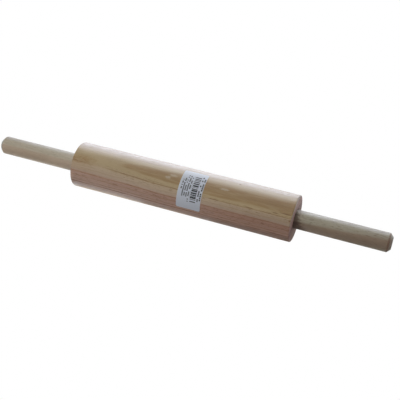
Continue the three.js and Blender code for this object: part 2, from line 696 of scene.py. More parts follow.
@dataclass
class Finish:
    """A material under construction, with its Principled BSDF as the shader."""

    material: Material
    bench: Bench
    shader: Node

    @classmethod
    def start(cls, name: str, **constants: Feed) -> "Finish":
        """Starts a material.

        Args:
            name: the material's name.
            **constants: what the shader's own sockets hold, with _ for a space in their names.

        Returns:
            The material, ready for its nodes.
        """
        material = bpy.data.materials.new(name)
        material.use_nodes = True
        shader = material.node_tree.nodes["Principled BSDF"]
        for label, value in constants.items():
            shader.inputs[label.replace("_", " ")].default_value = value
        return cls(material, Bench(material.node_tree), shader)

    def place(self) -> tuple[Result, Result]:
        """Adds the Texture Coordinate node.

        Returns:
            The place in millimetres from the pin's axis, and the direction that the surface faces.
        """
        source = self.bench.node("ShaderNodeTexCoord").outputs
        to_axis = (0.0, 0.0, -BARREL_RADIUS)
        feeds = {"Vector": source["Object"], "Location": to_axis, "Scale": (1 / MM,) * 3}
        return self.bench.node("ShaderNodeMapping", feeds).outputs[0], source["Normal"]

    def dress(self, colour: Result, roughness: Result, height: Result, depth: float) -> Material:
        """Feeds the shader.

        Args:
            colour: the base colour.
            roughness: the roughness.
            height: the relief, from 0 to 1.
            depth: the relief's depth in metres.

        Returns:
            The finished material.
        """
        bump = self.bench.node("ShaderNodeBump", {"Strength": 1.0, "Distance": depth, "Height": height})
        feeds = {"Base Color": colour, "Roughness": roughness, "Normal": bump.outputs[0]}
        for label, socket in feeds.items():
            self.bench.tree.links.new(socket, self.shader.inputs[label])
        return self.material


def bark_direction(degrees: float) -> Triple:
    """Gives the direction across the pin at an angle up from the front."""
    return (0.0, -math.cos(math.radians(degrees)), math.sin(math.radians(degrees)))


@dataclass(frozen=True)
class Ring:
    """One year's dark latewood in the pine.

    Attributes:
        depth: where its sharp outer edge lies under the bark side, in millimetres.
        strength: how dark it is, from 0 to 1.
        full: how far it stays dark, in millimetres.
        fade: how far it then takes to fade, in millimetres.
    """

    depth: float
    strength: float
    full: float
    fade: float

    def levels(self) -> list[Pair]:
        """Gives the year's darkness by depth: it rises sharply, stays dark and fades inwards.

        Returns:
            Depths in rising order, each with the darkness there.
        """
        end = self.depth + self.full
        return [
            (self.depth - 0.10, 0.0),
            (self.depth, self.strength),
            (end, self.strength * 0.9),
            (end + self.fade, 0.0),
        ]


@dataclass(frozen=True)
class PineGrain:
    """Where each place of the barrel lies in the pine, as results of one material's nodes.

    Attributes:
        bench: adds the material's nodes.
        place: the place in millimetres from the pin's axis.
        along: its X.
        depth: how deep it lies under the bark side, in millimetres.
        share: the depth's place on the ramps.
        broken: noise that breaks up the dark lines.
        front: 1 on the front of the pin and 0 elsewhere.
        left: 1 on the front of the left end and 0 elsewhere.
        spots: the mask of the pale spots.
        clear: how clearly the dark lines show, from 0 to 1; the outer years' lines are faded over the top and
            back as a painted highlight.
    """

    bench: Bench
    place: Result
    along: Result
    depth: Result
    share: Result
    broken: Result
    front: Result
    left: Result
    spots: Result
    clear: Result


@dataclass(frozen=True)
class PineFinish:
    """Sanded, unvarnished pine. The barrel was turned from a board whose bark side faces up and to the front.

    Lengths are in millimetres, and a depth is measured inwards from the bark side. Each tint is what the
    colour is multiplied by where it shows, and so are latewood, dash and orange.

    Attributes:
        bark_angle: the angle round the pin of the bark side, in degrees.
        heart: how far the tree's heart lies from the pin's axis.
        wave: how far the rings wave.
        bend: how much nearer the surface the inner years come at the left end.
        back_depth_shift: how much the depth is lessened on the back, which keeps the red inner wood off the
            top edge; the paler wood there is partly painted highlight.
        outside: how far outside the surface the ramps start, and span: the depth that they cover.
        line_pitch: the width of a faint year.
        fibre: the fibres' width and length.
        relief: the depth of the grain's relief, in metres.
        orange: for the dashes in the flame's edge at the left end.
        warm_tint: for the outer wood at the left end, and dull_tint: at the right end.
        red_tint: for the red inner wood at the right end.
        low_tint: for the wood low on the front, right of the middle.
        rings: the strong years, and heart_rings: those on the back, towards the tree's heart.
        zones: the earlywood's colour by depth.
        dashed: how strong the short dashes are, by depth, and scored: the thin dark lines.
        crossing: how far the outer years are cut away, by place along the pin.
        pale_spots: each spot's X, angle in degrees, half length and half width, and specks: the dark ones'.
    """

    bark_angle: float = 68.0
    heart: float = 70.0
    wave: float = 1.1
    bend: float = 1.3
    back_depth_shift: float = 5.0
    outside: float = 1.0
    span: float = 54.0
    line_pitch: float = 1.35
    fibre: Pair = (0.55, 34.0)
    soil_width: float = 1.6
    relief: float = 0.00012
    latewood: Colour = (0.77, 0.62, 0.46)
    dash: Colour = (0.56, 0.42, 0.33)
    orange: Colour = (0.84, 0.68, 0.52)
    warm_tint: Colour = (0.93, 0.88, 0.81)
    dull_tint: Colour = (0.875, 0.845, 0.825)
    red_tint: Colour = (0.92, 0.81, 0.75)
    low_tint: Colour = (0.84, 0.80, 0.79)
    streak_tint: Colour = (0.72, 0.60, 0.48)
    cloud_tint: Colour = (0.84, 0.79, 0.74)
    pore_tint: Colour = (0.45, 0.33, 0.22)
    # The cut ends' tint: the end grain's own tone, made lighter and bluer than the sides as painted light for
    # the cool light on the end face.
    end_tint: Colour = (1.17, 1.29, 1.72)
    soil_tint: Colour = (0.62, 0.52, 0.46)
    pale_spot: Colour = (0.64, 0.54, 0.40)
    rings: tuple[Ring, ...] = (
        Ring(-0.90, 0.90, 1.40, 0.20),
        Ring(1.90, 0.90, 0.10, 0.40),
        Ring(6.40, 1.00, 0.20, 1.10),
        Ring(9.20, 0.85, 0.15, 0.90),
        Ring(12.9, 0.80, 0.30, 0.90),
        Ring(15.6, 1.00, 0.70, 1.30),
        Ring(18.6, 1.00, 0.45, 1.00),
        Ring(21.5, 0.80, 0.25, 1.60),
    )
    heart_rings: tuple[Ring, ...] = (
        Ring(26.2, 1.00, 0.50, 2.00),
        Ring(30.6, 0.90, 0.30, 2.40),
        Ring(34.4, 1.00, 0.60, 1.60),
        Ring(39.0, 0.85, 0.30, 2.60),
        Ring(43.4, 1.00, 0.50, 1.80),
        Ring(46.9, 0.90, 0.40, 1.40),
        Ring(49.2, 0.80, 0.20, 0.60),
    )
    zones: tuple[Stop, ...] = (
        (-1.0, (0.585, 0.44, 0.232)),
        (1.4, (0.585, 0.45, 0.245)),
        (2.3, (0.615, 0.478, 0.305)),
        (3.4, (0.640, 0.500, 0.350)),
        (5.7, (0.638, 0.493, 0.365)),
        (6.5, (0.635, 0.42, 0.33)),
        (15.0, (0.63, 0.425, 0.34)),
        (21.0, (0.53, 0.385, 0.33)),
        (27.0, (0.60, 0.45, 0.325)),
        (52.0, (0.63, 0.49, 0.34)),
    )
    dashed: tuple[Pair, ...] = (
        (-1.0, 0.10), (0.8, 0.20), (1.7, 0.80), (3.0, 0.95), (3.6, 0.70),
        (4.4, 0.30), (6.1, 0.30), (6.6, 0.80), (16.0, 0.60), (30.0, 0.45),
    )
    scored: tuple[Pair, ...] = (
        (1.85, 0.0), (1.92, 0.7), (2.06, 0.7), (2.20, 0.0),
        (6.30, 0.0), (6.45, 0.8), (6.65, 0.0),
        (9.10, 0.0), (9.25, 0.85), (9.45, 0.0),
        (12.8, 0.0), (13.0, 0.6), (13.2, 0.0),
        (15.4, 0.0), (15.7, 0.95), (16.2, 0.95), (16.6, 0.0),
        (18.4, 0.0), (18.7, 0.8), (19.0, 0.0),
    )
    crossing: tuple[Pair, ...] = (
        (-125.0, 0.95), (-100.0, 1.0), (-80.0, 0.95), (-70.0, 0.62), (-60.0, 0.48),
        (-40.0, 0.28), (-15.0, 0.10), (10.0, -0.20), (30.0, -0.80), (60.0, -0.85),
        (75.0, -0.50), (100.0, -0.50), (112.0, -0.70), (125.0, -0.75),
    )
    pale_spots: tuple[Spot, ...] = (
        (-8.0, 71.5, 5.0, 1.9),
        (-13.5, 64.5, 3.6, 1.7),
        (49.5, 69.0, 5.2, 1.5),
    )
    specks: tuple[Spot, ...] = (
        (62.5, 96.5, 1.3, 0.8),
        (123.4, 33.0, 1.2, 1.0),
        (118.5, 47.0, 6.0, 0.7),
        (107.0, 44.0, 4.0, 0.5),
        (41.0, 39.0, 7.0, 0.5),
        (79.0, 40.5, 6.0, 0.5),
        (-96.0, 211.0, 2.2, 1.2),
        (38.0, 168.0, 3.0, 0.8),
    )

    def share(self, depth: float) -> float:
        """Gives a depth's place on the ramps, whose steps widen inwards as the square root does."""
        return math.sqrt((depth + self.outside) / self.span)

    def _by_depth(self, grain: PineGrain, table: Sequence[Pair]) -> Result:
        """Adds a ramp of levels from a table of depths in millimetres, each with its level."""
        return grain.bench.levels(grain.share, [(self.share(depth), level) for depth, level in table])

    def _grain(self, bench: Bench, groups: WoodGroups, place: Result) -> PineGrain:
        """Works out where each place lies in the wood.

        To the depth that the tree's rings give, the left end adds its bend, and the flame on the front adds
        what is cut away of the outer years. The back takes some away, which keeps the red inner wood off the
        top edge: the paler wood there is partly painted highlight.

        Args:
            bench: adds the nodes.
            groups: the shared node groups.
            place: the place in millimetres from the pin's axis.

        Returns:
            What the other methods need of it.
        """
        along, back, _ = bench.split(place)
        bark_side = bark_direction(self.bark_angle)
        sizes = {"Heart": self.heart, "Radius": BARREL_RADIUS, "Wave": self.wave}
        under = bench.group(groups.growth_rings, Place=place, Bark_Side=bark_side, **sizes)[0]
        inner = bench.rise(under, 1.4, 4.0)
        bent = bench.product(bench.rise(along, -BARREL_END, 10.0, self.bend, 0.0), inner)
        on_length = bench.math("MULTIPLY_ADD", along, 0.5 / BARREL_END, 0.5)
        # A ramp holds levels from 0 to 1, so the crossing is halved and raised there.
        stops = [(0.5 * x / BARREL_END + 0.5, level * 0.5 + 0.5) for x, level in self.crossing]
        crossing = bench.math("MULTIPLY_ADD", bench.levels(on_length, stops, "B_SPLINE"), 2.0, -1.0)
        outer = bench.product(crossing, bench.rest(inner))
        # Painted highlight, in part: the lessened depth on the back keeps the red inner wood off the top
        # edge, so that edge stays pale.
        back_shift = bench.rise(back, 2.0, 16.0, 0.0, self.back_depth_shift)
        depth = bench.math("SUBTRACT", bench.total(under, bent, outer), back_shift)
        scaled = bench.math("MULTIPLY_ADD", depth, 1 / self.span, self.outside / self.span)
        # Painted highlight: the outer years' dark lines fade to a quarter over the top and back, as if washed
        # out by the highlight there.
        faded_under_highlight = bench.largest(bench.rise(back, -8.0, -1.0, 1.0, 0.25), bench.rise(depth, 5.5, 7.0))
        off_end = bench.largest(bench.rise(along, -95.0, -60.0, 0.3, 1.0), bench.rise(depth, 3.0, 5.0))
        front = bench.fall(back, -12.0, -8.0)
        return PineGrain(
            bench=bench,
            place=place,
            along=along,
            depth=depth,
            share=bench.math("SQRT", bench.largest(scaled, 0.0)),
            broken=bench.noise(place, (22.0, 3.0, 3.0), (2.0, 8.0, 4.0), detail=3.0, rough=0.6),
            front=front,
            left=bench.product(bench.fall(along, -114.0, -92.0), front),
            spots=self._spots(bench, place, self.pale_spots),
            clear=bench.product(faded_under_highlight, off_end),
        )

    @staticmethod
    def _spots(bench: Bench, place: Feed, spots: Sequence[Spot]) -> Result:
        """Adds spots, such as those where the turning cut through the outermost year.

        A spot's mask falls from 1 to 0 round an ellipse about its middle, whose edge is frayed by noise.

        Args:
            bench: adds the nodes.
            place: the place in millimetres from the pin's axis.
            spots: each spot's X, angle, half length and half width, in millimetres and degrees.

        Returns:
            The spots' mask.
        """
        frayed = bench.noise(place, (3.0, 1.0, 1.0), (6.0, 6.0, 6.0))
        masks: list[Feed] = [0.0]
        for x, angle, half_length, half_width in spots:
            _, y, z = (BARREL_RADIUS * part for part in bark_direction(angle))
            from_middle = bench.vector_math("SUBTRACT", place, (x, y, z))
            scaled = bench.vector_math("DIVIDE", from_middle, (half_length, half_width, half_width))
            distance = bench.vector_math("LENGTH", scaled)
            edge = bench.math("MULTIPLY_ADD", bench.math("SUBTRACT", frayed, 0.5), 1.6, distance)
            masks.append(bench.fall(edge, 0.4, 1.3))
        return bench.largest(*masks)

    def _latewood(self, grain: PineGrain) -> Result:
        """Adds the dark latewood of the strong years, and the faint lines of the inner wood's other years.

        Args:
            grain: where each place lies in the wood.

        Returns:
            Its darkness, from 0 to 1.
        """
        bench = grain.bench
        strong = [
            self._by_depth(grain, [stop for ring in rings for stop in ring.levels()])
            for rings in (self.rings, self.heart_rings)
        ]
        counted = bench.math("DIVIDE", grain.depth, self.line_pitch)
        own = bench.chance(bench.math("FLOOR", counted)).outputs["Value"]
        fading = bench.math("POWER", bench.rest(bench.math("FRACT", counted)), 4.0)
        faint = bench.product(fading, bench.rise(grain.depth, 2.6, 3.6), bench.rise(own, 0.1, 1.0, 0.1, 0.75))
        late = bench.largest(*strong, faint)
        unbroken = bench.rise(grain.broken, 0.3, 0.6, 0.45, 1.05)
        return bench.product(late, unbroken, bench.rest(grain.spots), grain.clear)

    def _earlywood(self, grain: PineGrain) -> Result:
        """Adds the earlywood's colour, with the tints that change along the pin.

        Args:
            grain: where each place lies in the wood.

        Returns:
            The colour.
        """
        bench, along, depth = grain.bench, grain.along, grain.depth
        colour = bench.ramp(grain.share, [(self.share(inside), zone) for inside, zone in self.zones])
        colour = bench.blend(bench.product(grain.spots, 0.6), colour, self.pale_spot)
        warm = bench.band(depth, (0.3, 1.5), (5.0, 6.4))
        at_right = bench.product(bench.rise(along, 60.0, 115.0, 0.25, 1.0), bench.rise(along, 30.0, 60.0))
        dull = bench.band(depth, (1.6, 3.6), (6.0, 7.5), 0.35)
        return bench.tinted(
            colour,
            (bench.product(warm, grain.left), self.warm_tint),
            (bench.product(dull, at_right, grain.front), self.dull_tint),
            (bench.product(bench.rise(along, -90.0, 90.0), bench.rise(depth, 6.0, 7.5)), self.red_tint),
            (bench.product(bench.rise(along, -30.0, 60.0), bench.rise(depth, 14.0, 19.0)), self.low_tint),
        )

    def _strokes(self, grain: PineGrain) -> tuple[Result, Result]:
        """Adds the short dashes, the thin lines and the specks.

        Args:
            grain: where each place lies in the wood.

        Returns:
            The mask of the dark ones, and that of the orange dashes at the left end.
        """
        bench = grain.bench
        stroke = bench.noise(grain.place, (5.0, 0.75, 0.75), (4.0, 2.0, 9.0), rough=0.6)
        flame_edge = bench.band(grain.depth, (0.9, 1.3), (2.2, 2.7))
        orange = bench.product(bench.rise(stroke, 0.40, 0.60), grain.left, flame_edge)
        dashes = bench.product(bench.rise(stroke, 0.54, 0.68), self._by_depth(grain, self.dashed))
        patchy = bench.noise(grain.place, (26.0, 14.0, 14.0), (1.0, 0.0, 6.0))
        gaps = bench.product(bench.rise(patchy, 0.38, 0.55), bench.rise(grain.broken, 0.36, 0.54))
        lines = bench.product(self._by_depth(grain, self.scored), gaps)
        dark = bench.product(bench.largest(dashes, lines), grain.clear)
        return bench.largest(dark, self._spots(bench, grain.place, self.specks)), orange

    def material(self, groups: WoodGroups) -> Material:
        """Builds the material.

        Args:
            groups: the shared node groups.

        Returns:
            The material.
        """
        finish = Finish.start("sanded_pine", Specular_IOR_Level=1.0)
        bench = finish.bench
        place, facing = finish.place()
        grain = self._grain(bench, groups, place)
        late = self._latewood(grain)
        dark, orange = self._strokes(grain)
        width, length = self.fibre
        streak, pore = bench.group(groups.fibres, Place=place, Width=width, Length=length)
        cloud = bench.noise(place, (45.0, 16.0, 16.0), (3.0, 1.0, 5.0), detail=3.0)
        ends = bench.group(groups.cut_ends, Facing=facing, Fibres=ALONG_PIN)[0]
        from_end = bench.math("SUBTRACT", BARREL_END, bench.math("ABSOLUTE", grain.along))
        soil = bench.group(groups.edge_soil_and_shade, Place=place, Distance=from_end, Width=self.soil_width)[0]
        colour = bench.tinted(
            self._earlywood(grain),
            (late, self.latewood),
            (orange, self.orange),
            (dark, self.dash),
            (bench.rise(streak, 0.35, 0.62, 0.34, 0.0), self.streak_tint),
            (bench.rise(cloud, 0.35, 0.65, 0.0, 0.30), self.cloud_tint),
            (bench.product(pore, 0.25), self.pore_tint),
            # Cut ends: the end grain's tone, lightened and blued in part as painted light.
            (bench.product(ends, 0.85), self.end_tint),
            (bench.product(soil, 0.30), self.soil_tint),
        )
        roughness = bench.math("MULTIPLY_ADD", ends, 0.25, bench.rise(streak, 0.3, 0.7, 0.39, 0.48))
        height = bench.math("MULTIPLY_ADD", late, 0.35, bench.product(streak, 0.6))
        height = bench.math("MULTIPLY_ADD", pore, -0.4, height)
        return finish.dress(colour, roughness, height, self.relief)


@dataclass(frozen=True)
class DowelFinish:
    """Sanded, unvarnished pale hardwood of a handle, with a brown band and short brown flecks.

    Lengths are in millimetres, strengths run from 0 to 1, and each tint is what the colour is multiplied by
    where it shows.

    Attributes:
        brown: the colour of the band.
        bark_angle: the angle round the pin of the bark side, in degrees.
        shade_and_rubbing: how dark the painted shade is at the root, where the dowel leaves the barrel, and
            how dark the rubbed edge by the tip is.
        tip_darkening: how much darker the wood grows towards the tip.
        tilt: how much deeper the years lie for each millimetre towards the tip.
        shine: the shader's specular level.
        shift: where the noise is read, so that no two dowels are alike.
        end_value: how bright the grey end grain is, against the wood's sides.
        bevel: the tint of the bevel round the end, and arris_tint: of the rubbed edge beside it.
        heart: how far the tree's heart lies from the pin's axis.
        wave: how far the rings wave.
        fibre: the fibres' width and length.
        shade_and_soil_widths: how wide the painted shade round the root and the soil round the tip are.
        relief: the depth of the grain's relief, in metres.
    """

    name: str
    brown: Colour
    bark_angle: float
    flecked: float
    shade_and_rubbing: float
    tip_darkening: float
    tilt: float
    shine: float
    shift: Triple
    end_value: float
    bevel: Colour
    early: Colour
    late: Colour = (0.545, 0.49, 0.38)
    fleck: Colour = (0.30, 0.22, 0.15)
    streak_tint: Colour = (0.78, 0.70, 0.58)
    cloud_tint: Colour = (0.84, 0.80, 0.74)
    tipward_tint: Colour = (0.80, 0.76, 0.73)
    # Painted shadow on the front of the root, and painted shade round it.
    root_shadow_tint: Colour = (0.40, 0.34, 0.32)
    root_shade_tint: Colour = (0.56, 0.50, 0.50)
    tip_tint: Colour = (0.66, 0.60, 0.52)
    arris_tint: Colour = (0.66, 0.46, 0.38)
    ring_width: float = 2.6
    heart: float = 38.0
    radius: float = 10.0
    wave: float = 2.4
    fibre: Pair = (0.5, 16.0)
    shade_and_soil_widths: Pair = (10.0, 5.0)
    relief: float = 0.00006

    def _figure(self, bench: Bench, under: Feed, moved: Feed, streak: Feed, pore: Feed) -> Result:
        """Adds the clean wood's colour: the years, the brown band, streaks, clouds, pores and flecks.

        Args:
            bench: adds the nodes.
            under: the depth under the bark side, in millimetres.
            moved: the place where this dowel's noise is read.
            streak: the fibres' streaks.
            pore: the fibres' pores.

        Returns:
            The colour.
        """
        year = bench.math("FRACT", bench.math("DIVIDE", under, self.ring_width))
        late = bench.math("POWER", bench.rest(year), 3.0)
        band = bench.band(under, (3.2, 6.5), (14.0, 18.0), 0.2)
        cloud = bench.noise(moved, (30.0, 9.0, 9.0), (1.0, 4.0, 2.0), detail=3.0)
        stroke = bench.noise(moved, (7.0, 1.0, 1.0), (8.0, 1.0, 3.0), rough=0.6)
        colour = bench.blend(bench.product(late, 0.55), self.early, self.late)
        colour = bench.blend(bench.product(band, 0.85), colour, self.brown)
        colour = bench.tinted(
            colour,
            (bench.rise(streak, 0.35, 0.65, 0.35, 0.0), self.streak_tint),
            (bench.rise(cloud, 0.4, 0.65, 0.0, 0.35), self.cloud_tint),
        )
        colour = bench.blend(bench.product(pore, 0.6), colour, self.fleck)
        return bench.blend(bench.product(bench.rise(stroke, 0.55, 0.70), self.flecked), colour, self.fleck)

    def _root_shadow(self, bench: Bench, place: Feed, moved: Feed, from_root: Feed) -> Result:
        """Adds painted shadow on the front of the root, where the barrel shades the dowel: it reaches further
        out low down and has a frayed edge.

        Args:
            bench: adds the nodes.
            place: the place in millimetres from the pin's axis.
            moved: the place where this dowel's noise is read.
            from_root: the distance from the barrel's end, in millimetres.

        Returns:
            The painted shadow's darkness, from 0 to 1.
        """
        _, back, up = bench.split(place)
        frayed = bench.noise(moved, (9.0, 2.5, 2.5), (5.0, 5.0, 1.0), detail=3.0, rough=0.6)
        reach = bench.math("MULTIPLY_ADD", up, -0.75, bench.product(frayed, 22.0))
        past_reach = bench.math("SUBTRACT", from_root, reach)
        in_front = bench.rise(back, -4.0, 2.0, self.shade_and_rubbing, 0.0)
        return bench.product(bench.fall(past_reach, -4.5, 2.0), in_front)

    def material(self, groups: WoodGroups) -> Material:
        """Builds the material.

        Args:
            groups: the shared node groups.

        Returns:
            The material.
        """
        finish = Finish.start(self.name, Specular_IOR_Level=self.shine)
        bench = finish.bench
        place, facing = finish.place()
        moved = bench.vector_math("ADD", place, self.shift)
        along = bench.math("ABSOLUTE", bench.split(place)[0])
        from_root = bench.math("SUBTRACT", along, BARREL_END)
        from_tip = bench.math("SUBTRACT", HANDLE_TIP, along)
        from_middle = bench.math("SUBTRACT", along, (BARREL_END + HANDLE_TIP) / 2)
        bark_side = bark_direction(self.bark_angle)
        sizes = {"Heart": self.heart, "Radius": self.radius, "Wave": self.wave}
        under = bench.group(groups.growth_rings, Place=place, Bark_Side=bark_side, **sizes)[0]
        under = bench.math("MULTIPLY_ADD", from_middle, self.tilt, under)
        width, length = self.fibre
        streak, pore = bench.group(groups.fibres, Place=moved, Width=width, Length=length)
        ends = bench.group(groups.cut_ends, Facing=facing, Fibres=ALONG_PIN)[0]
        flat = bench.rise(ends, 0.86, 1.0)
        root_width, tip_width = self.shade_and_soil_widths
        # Painted shade: the dowel is darkened round its root, where the barrel's end shades it.
        root = bench.group(groups.edge_soil_and_shade, Place=moved, Distance=from_root, Width=root_width)[0]
        tip = bench.group(groups.edge_soil_and_shade, Place=place, Distance=from_tip, Width=tip_width)[0]
        arris = bench.band(from_tip, (1.6, 2.8), (3.7, 4.3))
        colour = bench.tinted(
            self._figure(bench, under, moved, streak, pore),
            # Darker towards the tip.
            (bench.product(bench.rise(from_root, 5.0, 95.0), self.tip_darkening), self.tipward_tint),
            # Painted shadow and painted shade where the dowel leaves the barrel.
            (self._root_shadow(bench, place, moved, from_root), self.root_shadow_tint),
            (bench.product(root, self.shade_and_rubbing), self.root_shade_tint),
            (bench.product(tip, 0.35), self.tip_tint),
            (bench.product(arris, self.shade_and_rubbing), self.arris_tint),
            (bench.math("SUBTRACT", ends, flat), self.bevel),
        )
        greyed = {"Fac": flat, "Color": colour, "Saturation": 0.35, "Value": self.end_value}
        colour = bench.node("ShaderNodeHueSaturation", greyed).outputs[0]
        roughness = bench.math("MULTIPLY_ADD", ends, 0.2, bench.rise(streak, 0.3, 0.7, 0.47, 0.56))
        height = bench.math("MULTIPLY_ADD", pore, -0.5, bench.product(streak, 0.6))
        return finish.dress(colour, roughness, height, self.relief)


DOWELS = {
    Side.LEFT: DowelFinish(
        name="pale_dowel",
        brown=(0.60, 0.475, 0.36),
        bark_angle=108.0,
        flecked=0.30,
        shade_and_rubbing=0.0,
        tip_darkening=0.35,
        tilt=0.0,
        shine=0.35,
        shift=(40.0, 3.0, 5.0),
        end_value=0.92,
        bevel=(0.83, 1.08, 1.37),
        early=(0.645, 0.595, 0.485),
    ),
    Side.RIGHT: DowelFinish(
        name="brown_dowel",
        # Painted shade in part: this dowel's brown band, low on the front, is darker than the wood's own
        # brown, to stand in for less light there.
        brown=(0.40, 0.28, 0.20),
        bark_angle=106.0,
        flecked=0.85,
        shade_and_rubbing=0.85,
        tip_darkening=0.75,
        tilt=0.04,
        shine=0.75,
        shift=(0.0, 9.0, 2.0),
        end_value=1.15,
        bevel=(1.30, 1.48, 1.72),
        early=(0.57, 0.535, 0.42),
        late=(0.50, 0.45, 0.335),
    ),
}


@dataclass(frozen=True)
class PegFinish:
    """Hardwood pegs, whose fibres run across the pin, with the end grain sanded flush with the barrel.

    Lengths are in millimetres, apart from the relief's depth in metres. The bark side is given with the
    fibres turned to lie along X, and fibre is their width and length.
    """

    early: Colour = (0.43, 0.30, 0.165)
    late: Colour = (0.29, 0.185, 0.092)
    pore: Colour = (0.14, 0.085, 0.04)
    streak_tint: Colour = (0.70, 0.60, 0.50)
    end_tint: Colour = (0.80, 0.72, 0.64)
    ring_width: float = 0.9
    bark_side: Triple = (0.0, 0.6, 0.8)
    fibre: Pair = (0.3, 8.0)
    relief: float = 0.0001

    def material(self, groups: WoodGroups) -> Material:
        """Builds the material.

        Args:
            groups: the shared node groups.

        Returns:
            The material.
        """
        finish = Finish.start("dark_peg", Specular_IOR_Level=0.5)
        bench = finish.bench
        place, facing = finish.place()
        quarter_turn = (0.0, 0.0, math.radians(-90.0))
        along_grain = bench.node("ShaderNodeMapping", {"Vector": place, "Rotation": quarter_turn}).outputs[0]
        sizes = {"Heart": 30.0, "Radius": 80.0, "Wave": 1.0}
        under = bench.group(groups.growth_rings, Place=along_grain, Bark_Side=self.bark_side, **sizes)[0]
        year = bench.math("FRACT", bench.math("DIVIDE", under, self.ring_width))
        width, length = self.fibre
        streak, pore = bench.group(groups.fibres, Place=along_grain, Width=width, Length=length)
        ends = bench.group(groups.cut_ends, Facing=facing, Fibres=ACROSS_PIN)[0]
        colour = bench.blend(bench.product(year, 0.6), self.early, self.late)
        colour = bench.tinted(colour, (bench.rise(streak, 0.35, 0.65, 0.4, 0.0), self.streak_tint))
        colour = bench.blend(bench.product(pore, 0.7), colour, self.pore)
        colour = bench.tinted(colour, (bench.product(ends, 0.6), self.end_tint))
        roughness = bench.rise(streak, 0.3, 0.7, 0.5, 0.68)
        height = bench.math("MULTIPLY_ADD", pore, -0.6, bench.product(streak, 0.5))
        return finish.dress(colour, roughness, height, self.relief)


@dataclass(frozen=True)
class PrintBlock:
    """A printed block of the label, in millimetres.

    Attributes:
        first: where it starts across the label.
        last: where it ends.
        low: where it starts along the label.
        high: where it ends.
        pitch: from row to row of dashes, or from stripe to stripe.
        dash: the pitch of the dashes in a row.
        taper: how much shorter the first row of dashes is at each end.
    """

    first: float
    last: float
    low: float
    high: float
    pitch: float
    dash: float = 1.0
    taper: float = 0.0


